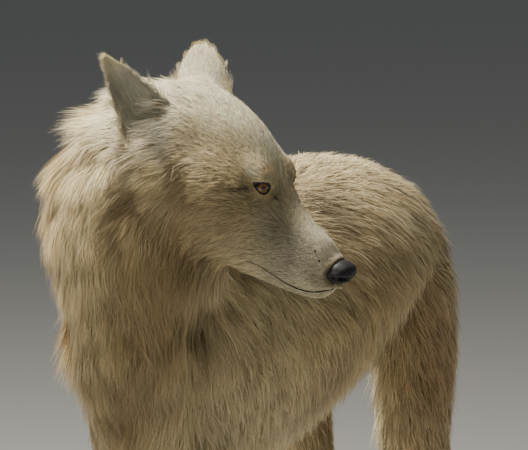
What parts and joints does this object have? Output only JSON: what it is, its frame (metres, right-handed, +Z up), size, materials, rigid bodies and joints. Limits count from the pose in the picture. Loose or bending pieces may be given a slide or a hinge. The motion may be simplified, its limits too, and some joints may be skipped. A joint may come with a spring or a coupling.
{
  "type": "arctic wolf",
  "caption": "Life-size still model of a standing arctic wolf with a full ruff, head turned to its left and muzzle lowered.",
  "frame": {"origin": "on the floor, at the middle of the model's box seen from above", "axes": "+Z up; the trunk faces -Y, with the tail towards +Y; the wolf's left, to which its head is turned, is +X"},
  "size_m": [0.3754, 0.9574, 0.924],
  "materials": {
    "coat": "long cream-white and tan fur",
    "dark_skin": "bare black skin, slightly moist",
    "eye": "wet amber eye",
    "claw": "worn dark horn"
  },
  "bodies": {
    "root": {"claw_forepaw_left_1": "claw", "claw_forepaw_left_2": "claw", "claw_forepaw_left_3": "claw", "claw_forepaw_left_4": "claw", "claw_forepaw_right_1": "claw", "claw_forepaw_right_2": "claw", "claw_forepaw_right_3": "claw", "claw_forepaw_right_4": "claw", "claw_hindpaw_left_1": "claw", "claw_hindpaw_left_2": "claw", "claw_hindpaw_left_3": "claw", "claw_hindpaw_left_4": "claw", "claw_hindpaw_right_1": "claw", "claw_hindpaw_right_2": "claw", "claw_hindpaw_right_3": "claw", "claw_hindpaw_right_4": "claw", "ear_left": "coat", "ear_right": "coat", "eye_left": "eye", "eye_right": "eye", "foreleg_left_lower": "coat", "foreleg_left_upper": "coat", "foreleg_right_lower": "coat", "foreleg_right_upper": "coat", "forepaw_left": "coat", "forepaw_right": "coat", "head": "coat", "hindpaw_left": "coat", "hindpaw_right": "coat", "hock_left": "coat", "hock_right": "coat", "jaw": "coat", "neck": "coat", "nose": "dark_skin", "shank_left": "coat", "shank_right": "coat", "tail": "coat", "thigh_left": "coat", "thigh_right": "coat", "trunk": "coat"}
  },
  "joints": []
}
